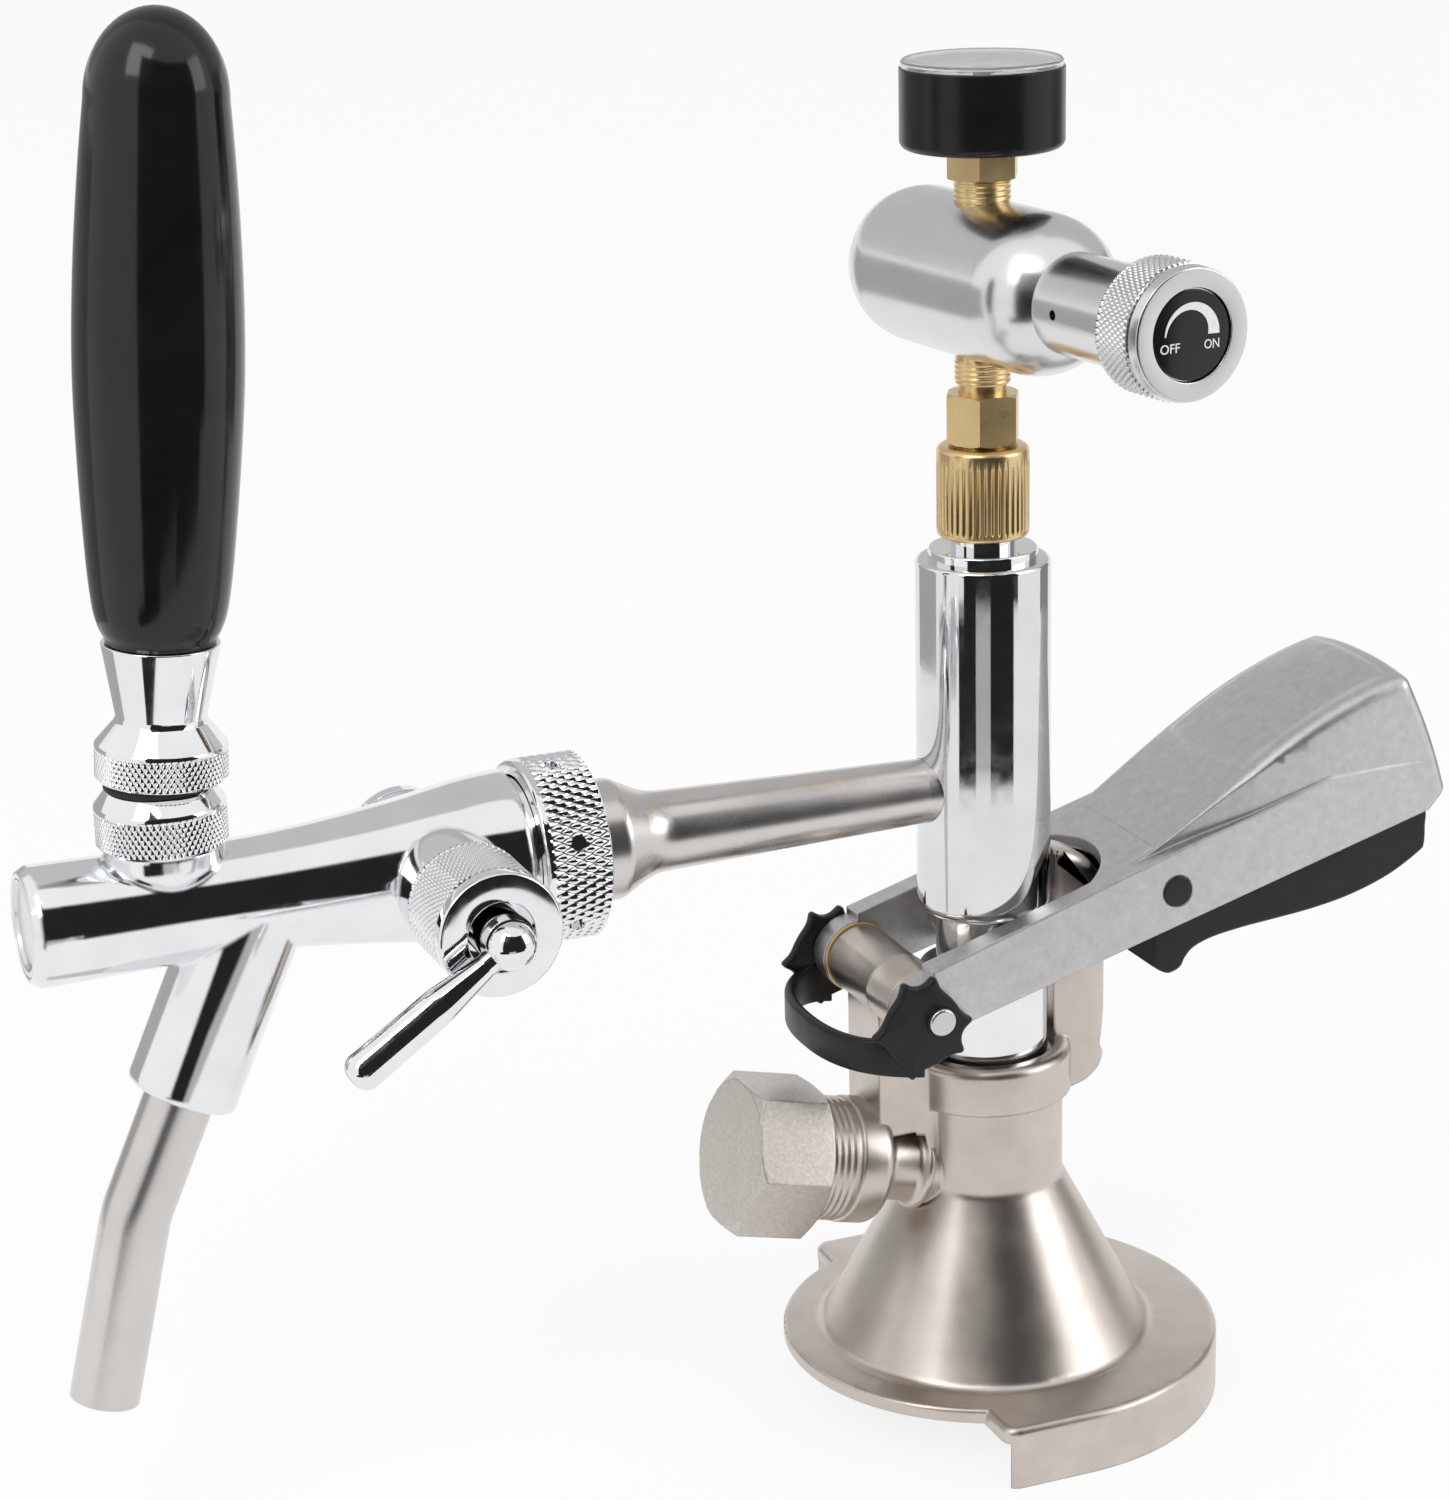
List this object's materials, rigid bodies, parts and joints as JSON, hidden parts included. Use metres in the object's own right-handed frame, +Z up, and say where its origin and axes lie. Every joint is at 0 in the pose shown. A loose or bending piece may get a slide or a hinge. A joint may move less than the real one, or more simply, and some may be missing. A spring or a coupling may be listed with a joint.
{
  "type": "keg party pump",
  "caption": "Slide-on keg coupler with press-down lever, carrying a flow-control beer faucet with a tall handle and a small gas regulator with gauge.",
  "frame": {"origin": "on the probe's axis, in the roof plane of the keg channel, which is the mouth of the socket that takes the keg's neck", "axes": "+Z up along the probe; -X towards the faucet and the open end of the keg channel; +X towards the lever's grip; -Y towards the flow lever and the regulator's knob"},
  "size_m": [0.2701, 0.1089, 0.2736],
  "materials": {
    "nickel_plated_brass": "satin nickel plate on cast brass",
    "chrome_plated_brass": "mirror polished chrome",
    "stainless": "satin stainless steel",
    "cast_aluminium": "satin grey casting",
    "brass": "bright turned brass",
    "gloss_black": "polished black",
    "matte_black": "moulded black",
    "black_pin": "black oxide",
    "white_plastic": "white moulded plastic",
    "needle_black": "black paint",
    "clear": "clear window",
    "rubber": "black rubber"
  },
  "bodies": {
    "coupler": {"coupler_body": "nickel_plated_brass", "keg_seal": "rubber", "check_valve": "rubber", "hinge_pin": "stainless", "pin_clip": "matte_black"},
    "cap": {"inlet_cap": "nickel_plated_brass", "inlet_washer": "rubber"},
    "lever": {"lever_casting": "cast_aluminium", "pivot_bushes": "brass", "drive_rollers": "stainless", "trigger_pin": "black_pin", "trigger_spring": "stainless"},
    "trigger_grip": {"trigger": "matte_black"},
    "probe": {"probe_body": "stainless", "probe_tip_seal": "rubber", "probe_rings": "rubber", "column_sleeve": "chrome_plated_brass", "column_head": "chrome_plated_brass", "gas_tube": "stainless", "head_washer": "rubber", "shank": "stainless", "shank_gasket": "rubber", "faucet_body": "chrome_plated_brass", "front_cap": "chrome_plated_brass", "bonnet": "chrome_plated_brass", "bonnet_ring": "rubber", "spout_tube": "stainless", "flow_gland": "chrome_plated_brass", "gland_ring": "rubber", "spindle_plug": "chrome_plated_brass"},
    "collar": {"coupling_collar": "chrome_plated_brass"},
    "tap": {"tap_lever": "stainless", "handle_ferrule": "chrome_plated_brass", "handle_insert": "brass", "handle_grip": "gloss_black"},
    "valve": {"valve_shaft": "stainless", "valve_seal": "rubber"},
    "flow": {"flow_spindle": "stainless", "flow_lever": "chrome_plated_brass"},
    "cone": {"compensator_cone": "white_plastic"},
    "union": {"union_nut": "brass"},
    "regulator": {"union_tail": "brass", "regulator_body": "chrome_plated_brass", "piercing_pin": "brass", "pressure_piston": "brass", "pressure_spring": "stainless", "spring_seat": "brass", "gauge_stem": "brass", "gauge_case": "gloss_black", "gauge_movement": "brass", "gauge_dial": "white_plastic", "gauge_lens": "clear"},
    "needle": {"gauge_needle": "needle_black"},
    "knob": {"regulator_knob": "chrome_plated_brass", "knob_dial": "matte_black"}
  },
  "joints": [
    {"name": "probe_press", "type": "slide", "parent": "coupler", "child": "probe", "axis": [0, 0, -1], "range_m": [0, 0.00887]},
    {"name": "lever_swing", "type": "hinge", "parent": "coupler", "child": "lever", "pos_m": [-0.0196, 0, 0.0762], "axis": [0, 1, 0], "range_deg": [0, 25]},
    {"name": "trigger_pull", "type": "hinge", "parent": "lever", "child": "trigger_grip", "pos_m": [0.0312, 0, 0.092], "axis": [0, -1, 0], "range_deg": [0, 6], "stiffness_Nm_per_rad": 0.5, "springref_deg": -5.73},
    {"name": "inlet_cap_off", "type": "slide", "parent": "coupler", "child": "cap", "axis": [-0.9728, 0, 0.2317], "range_m": [0, 0.016]},
    {"name": "tap_tilt", "type": "hinge", "parent": "probe", "child": "tap", "pos_m": [-0.1552, 0, 0.126], "axis": [0, -1, 0], "range_deg": [0, 25]},
    {"name": "valve_slide", "type": "slide", "parent": "probe", "child": "valve", "axis": [1, 0, 0], "range_m": [0, 0.0057]},
    {"name": "flow_turn", "type": "hinge", "parent": "probe", "child": "flow", "pos_m": [-0.108, -0.03, 0.1127], "axis": [0, -1, 0], "range_deg": [-45, 45]},
    {"name": "cone_slide", "type": "slide", "parent": "probe", "child": "cone", "axis": [-1, 0, 0], "range_m": [-0.00177, 0.00177]},
    {"name": "collar_spin", "type": "hinge", "parent": "probe", "child": "collar", "pos_m": [-0.085, 0, 0.1127], "axis": [-1, 0, 0], "continuous": true},
    {"name": "union_nut_spin", "type": "hinge", "parent": "probe", "child": "union", "pos_m": [0, 0, 0.168], "axis": [0, 0, 1], "continuous": true},
    {"name": "regulator_swivel", "type": "hinge", "parent": "probe", "child": "regulator", "pos_m": [0, 0, 0.171], "axis": [0, 0, 1], "continuous": true},
    {"name": "knob_turn", "type": "hinge", "parent": "regulator", "child": "knob", "pos_m": [0.0067, -0.05459, 0.2071], "axis": [0.1219, -0.9925, 0], "range_deg": [0, 300]},
    {"name": "needle_turn", "type": "hinge", "parent": "regulator", "child": "needle", "pos_m": [0, 0, 0.2431], "axis": [0, 0, -1], "range_deg": [0, 270]}
  ],
  "couplings": [
    {"joint": "lever_swing", "follows": "probe_press", "rad_per_m": 49.17},
    {"joint": "valve_slide", "follows": "tap_tilt", "m_per_rad": 0.013061},
    {"joint": "cone_slide", "follows": "flow_turn", "m_per_rad": 0.00225}
  ]
}
